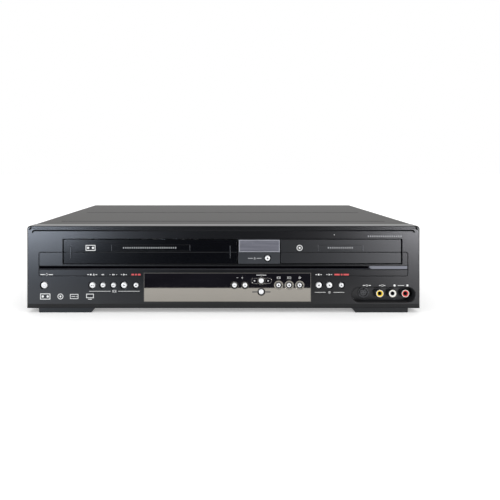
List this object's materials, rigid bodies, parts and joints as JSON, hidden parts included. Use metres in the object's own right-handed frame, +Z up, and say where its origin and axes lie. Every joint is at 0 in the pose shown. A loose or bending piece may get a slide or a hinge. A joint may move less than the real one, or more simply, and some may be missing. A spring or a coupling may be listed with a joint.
{
  "type": "tape, disc and hard disk recorder",
  "caption": "Full-width hi-fi recorder with a cassette flap, a sliding disc tray, a mirrored display strip, round keys and a pocket of camera sockets on its front.",
  "frame": {"origin": "middle of the bounding box at the bottom of the feet", "axes": "+X to the right seen from the front, +Y to the back, +Z up; the front faces -Y"},
  "size_m": [0.435, 0.3486, 0.096],
  "materials": {
    "front_black": "fine satin",
    "centre_grey": "satin",
    "sensor_smoke": "smoked gloss",
    "display_mirror": "half-mirrored",
    "strip_gloss": "polished",
    "cover_paint": "fine textured paint",
    "plated_steel": "zinc plated",
    "bare_steel": "bright",
    "foot_black": "matt",
    "screw_black": "blackened",
    "board_green": "lacquered",
    "board_brown": "phenolic",
    "display_glass": "dark glass",
    "jack_yellow": "gloss insert in a plated barrel",
    "jack_white": "gloss insert in a plated barrel",
    "jack_red": "gloss insert in a plated barrel",
    "socket_black": "matt",
    "moulded_black": "matt",
    "tray_grey": "satin",
    "gear_white": "natural",
    "cast_alloy": "cast",
    "key_silver": "silvered"
  },
  "bodies": {
    "casing": {"front_panel": "front_black", "centre_panel": "centre_grey", "sensor_window": "sensor_smoke", "display_window": "display_mirror", "trim_strip": "strip_gloss", "top_cover": "cover_paint", "bottom_chassis": "plated_steel", "rear_panel": "plated_steel", "feet": "foot_black", "screws": "screw_black", "front_board": "board_green", "display_module": "display_glass", "video_jack": "jack_yellow", "audio_left_jack": "jack_white", "audio_right_jack": "jack_red", "s_video_socket": "socket_black", "drive_housing": "moulded_black", "hard_disk_drive": "cast_alloy", "deck_chassis": "plated_steel", "carriage_frame": "plated_steel", "drum_base": "cast_alloy", "main_board": "board_green", "power_board": "board_brown", "fan_frame": "moulded_black", "scart_sockets": "socket_black", "rear_jacks": "socket_black", "power_inlet": "socket_black", "aerial_sockets": "bare_steel"},
    "flap": {"cassette_flap": "front_black"},
    "tray": {"disc_tray": "tray_grey", "tray_front": "front_black"},
    "gear": {"loading_gear": "gear_white"},
    "traverse": {"traverse": "plated_steel"},
    "turntable": {"turntable": "moulded_black"},
    "pickup": {"pickup_sled": "cast_alloy"},
    "clamp": {"disc_clamp": "gear_white"},
    "slider": {"carriage_slider": "plated_steel"},
    "basket": {"cassette_basket": "plated_steel"},
    "supply_reel": {"supply_reel_table": "gear_white"},
    "takeup_reel": {"takeup_reel_table": "gear_white"},
    "drum": {"head_drum": "cast_alloy"},
    "capstan": {"capstan_flywheel": "bare_steel"},
    "fan": {"fan_rotor": "moulded_black"},
    "power_key": {"power_button": "key_silver"},
    "stop_eject_key": {"stop_eject_button": "key_silver"},
    "rewind_key": {"rewind_button": "key_silver"},
    "fast_forward_key": {"fast_forward_button": "key_silver"},
    "play_tape_key": {"play_tape_button": "key_silver"},
    "record_tape_key": {"record_tape_button": "key_silver"},
    "channel_down_key": {"channel_down_button": "key_silver"},
    "channel_up_key": {"channel_up_button": "key_silver"},
    "copy_key": {"copy_button": "key_silver"},
    "output_key": {"output_button": "key_silver"},
    "select_tape_key": {"select_tape_button": "key_silver"},
    "select_hard_disk_key": {"select_hard_disk_button": "key_silver"},
    "select_disc_key": {"select_disc_button": "key_silver"},
    "stop_disc_key": {"stop_disc_button": "key_silver"},
    "play_disc_key": {"play_disc_button": "key_silver"},
    "record_disc_key": {"record_disc_button": "key_silver"},
    "open_close_key": {"open_close_button": "key_silver"}
  },
  "joints": [
    {"name": "tray_slide", "type": "slide", "parent": "casing", "child": "tray", "axis": [0, -1, 0], "range_m": [0, 0.13]},
    {"name": "loading_gear_spin", "type": "hinge", "parent": "casing", "child": "gear", "pos_m": [0.083, -0.14395, 0.0585], "axis": [0, 0, 1], "range_deg": [-5, 835]},
    {"name": "flap_swing", "type": "hinge", "parent": "casing", "child": "flap", "pos_m": [-0.0809, -0.17255, 0.0801], "axis": [1, 0, 0], "range_deg": [0, 88], "stiffness_Nm_per_rad": 0.003, "springref_deg": -11.46},
    {"name": "traverse_tilt", "type": "hinge", "parent": "casing", "child": "traverse", "pos_m": [0.13, -0.00795, 0.0505], "axis": [1, 0, 0], "range_deg": [0, 3.5]},
    {"name": "turntable_spin", "type": "hinge", "parent": "traverse", "child": "turntable", "pos_m": [0.13, -0.09995, 0.06], "axis": [0, 0, 1], "continuous": true},
    {"name": "clamp_spin", "type": "hinge", "parent": "casing", "child": "clamp", "pos_m": [0.13, -0.09995, 0.076], "axis": [0, 0, 1], "continuous": true},
    {"name": "pickup_slide", "type": "slide", "parent": "traverse", "child": "pickup", "axis": [0, 1, 0], "range_m": [0, 0.034]},
    {"name": "carriage_slide", "type": "slide", "parent": "casing", "child": "slider", "axis": [0, 1, 0], "range_m": [0, 0.06]},
    {"name": "basket_drop", "type": "slide", "parent": "slider", "child": "basket", "axis": [0, 0, -1], "range_m": [0, 0.022]},
    {"name": "supply_reel_spin", "type": "hinge", "parent": "casing", "child": "supply_reel", "pos_m": [-0.12715, -0.03475, 0.025], "axis": [0, 0, 1], "continuous": true},
    {"name": "takeup_reel_spin", "type": "hinge", "parent": "casing", "child": "takeup_reel", "pos_m": [-0.03465, -0.03475, 0.025], "axis": [0, 0, 1], "continuous": true},
    {"name": "drum_spin", "type": "hinge", "parent": "casing", "child": "drum", "pos_m": [-0.0809, 0.057, 0.039], "axis": [0, 0.1028, 0.9947], "continuous": true},
    {"name": "capstan_spin", "type": "hinge", "parent": "casing", "child": "capstan", "pos_m": [-0.0229, 0.036, 0.03], "axis": [0, 0, 1], "continuous": true},
    {"name": "fan_spin", "type": "hinge", "parent": "casing", "child": "fan", "pos_m": [0.152, 0.15675, 0.062], "axis": [0, 1, 0], "continuous": true},
    {"name": "power_press", "type": "slide", "parent": "casing", "child": "power_key", "axis": [0, 1, 0], "range_m": [0, 0.0008], "stiffness_N_per_m": 200},
    {"name": "stop_eject_press", "type": "slide", "parent": "casing", "child": "stop_eject_key", "axis": [0, 1, 0], "range_m": [0, 0.0008], "stiffness_N_per_m": 200},
    {"name": "rewind_press", "type": "slide", "parent": "casing", "child": "rewind_key", "axis": [0, 1, 0], "range_m": [0, 0.0008], "stiffness_N_per_m": 200},
    {"name": "fast_forward_press", "type": "slide", "parent": "casing", "child": "fast_forward_key", "axis": [0, 1, 0], "range_m": [0, 0.0008], "stiffness_N_per_m": 200},
    {"name": "play_tape_press", "type": "slide", "parent": "casing", "child": "play_tape_key", "axis": [0, 1, 0], "range_m": [0, 0.0008], "stiffness_N_per_m": 200},
    {"name": "record_tape_press", "type": "slide", "parent": "casing", "child": "record_tape_key", "axis": [0, 1, 0], "range_m": [0, 0.0008], "stiffness_N_per_m": 200},
    {"name": "channel_down_press", "type": "slide", "parent": "casing", "child": "channel_down_key", "axis": [0, 1, 0], "range_m": [0, 0.0008], "stiffness_N_per_m": 200},
    {"name": "channel_up_press", "type": "slide", "parent": "casing", "child": "channel_up_key", "axis": [0, 1, 0], "range_m": [0, 0.0008], "stiffness_N_per_m": 200},
    {"name": "copy_press", "type": "slide", "parent": "casing", "child": "copy_key", "axis": [0, 1, 0], "range_m": [0, 0.0008], "stiffness_N_per_m": 200},
    {"name": "output_press", "type": "slide", "parent": "casing", "child": "output_key", "axis": [0, 1, 0], "range_m": [0, 0.0008], "stiffness_N_per_m": 200},
    {"name": "select_tape_press", "type": "slide", "parent": "casing", "child": "select_tape_key", "axis": [0, 1, 0], "range_m": [0, 0.0008], "stiffness_N_per_m": 200},
    {"name": "select_hard_disk_press", "type": "slide", "parent": "casing", "child": "select_hard_disk_key", "axis": [0, 1, 0], "range_m": [0, 0.0008], "stiffness_N_per_m": 200},
    {"name": "select_disc_press", "type": "slide", "parent": "casing", "child": "select_disc_key", "axis": [0, 1, 0], "range_m": [0, 0.0008], "stiffness_N_per_m": 200},
    {"name": "stop_disc_press", "type": "slide", "parent": "casing", "child": "stop_disc_key", "axis": [0, 1, 0], "range_m": [0, 0.0008], "stiffness_N_per_m": 200},
    {"name": "play_disc_press", "type": "slide", "parent": "casing", "child": "play_disc_key", "axis": [0, 1, 0], "range_m": [0, 0.0008], "stiffness_N_per_m": 200},
    {"name": "record_disc_press", "type": "slide", "parent": "casing", "child": "record_disc_key", "axis": [0, 1, 0], "range_m": [0, 0.0008], "stiffness_N_per_m": 200},
    {"name": "open_close_press", "type": "slide", "parent": "casing", "child": "open_close_key", "axis": [0, 1, 0], "range_m": [0, 0.0008], "stiffness_N_per_m": 200}
  ],
  "couplings": [
    {"joint": "loading_gear_spin", "follows": "tray_slide", "rad_per_m": 111.11},
    {"joint": "clamp_spin", "follows": "turntable_spin", "ratio": 1}
  ]
}
